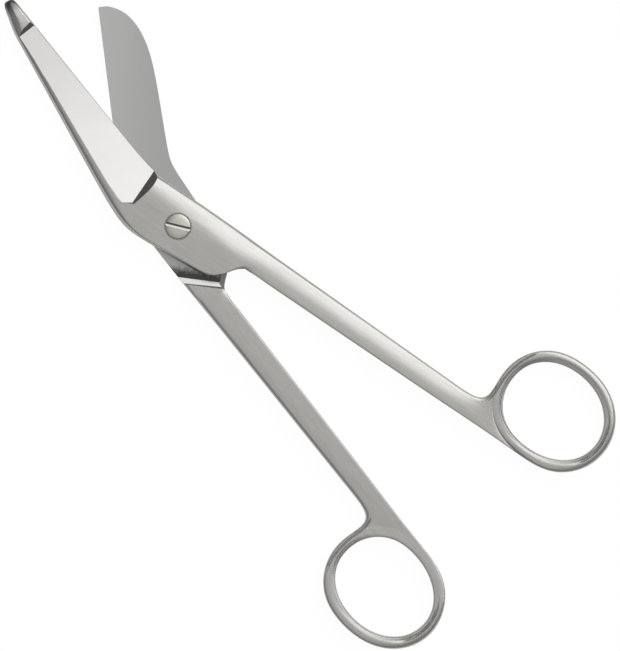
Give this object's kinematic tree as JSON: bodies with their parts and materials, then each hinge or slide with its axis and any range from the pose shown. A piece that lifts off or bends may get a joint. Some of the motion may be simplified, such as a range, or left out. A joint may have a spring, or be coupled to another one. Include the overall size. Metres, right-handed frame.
{
  "type": "bandage scissors",
  "caption": "Angled bandage scissors: a blade with a blunt probe end and a round-ended blade turn on a slotted screw, with long shanks and oval finger rings.",
  "frame": {"origin": "on the pivot axis, at the plane the scissors lie on, which is the outer face of the rear half's joint and the end of the screw", "axes": "+X along the front half towards its finger ring, parallel to the line on which the halves close; +Y towards the side on which that ring lies, square to the pivot; +Z along the pivot axis towards the screw's slotted head"},
  "size_m": [0.2017, 0.1045, 0.0063],
  "materials": {
    "satin_steel": "satin-ground stainless steel, with the front blade's facet polished brighter",
    "screw_steel": "turned stainless steel, slightly warmer in tone"
  },
  "bodies": {
    "rear_body": {"rear_half": "satin_steel", "pivot_screw": "screw_steel"},
    "front_body": {"front_half": "satin_steel"}
  },
  "joints": [
    {"name": "pivot", "type": "hinge", "parent": "rear_body", "child": "front_body", "pos_m": [0, 0, 0.0031], "axis": [0, 0, 1], "range_deg": [-18.2, 80]}
  ]
}
